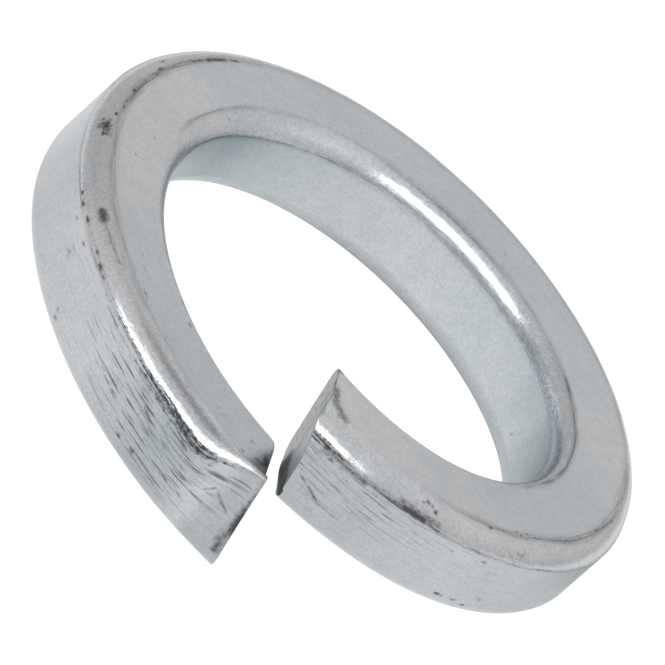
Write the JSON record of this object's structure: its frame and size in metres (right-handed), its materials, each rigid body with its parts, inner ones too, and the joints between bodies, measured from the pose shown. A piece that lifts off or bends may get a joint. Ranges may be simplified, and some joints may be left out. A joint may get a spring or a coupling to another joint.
{
  "type": "spring lock washer",
  "caption": "Split spring lock washer of nearly square section, wound as a left-hand coil and parted by a slanting cut.",
  "frame": {"origin": "on the bore's axis, level with the washer's lowest point", "axes": "+Z along the bore, from the lower end of the coil to the upper end; the cut faces -Y"},
  "size_m": [0.0295, 0.0295, 0.0096],
  "materials": {
    "zinc_plated_steel": "bright zinc plating, satin, with drawing marks along the wire and small dark specks at the edges"
  },
  "bodies": {
    "root": {"washer": "zinc_plated_steel"}
  },
  "joints": []
}
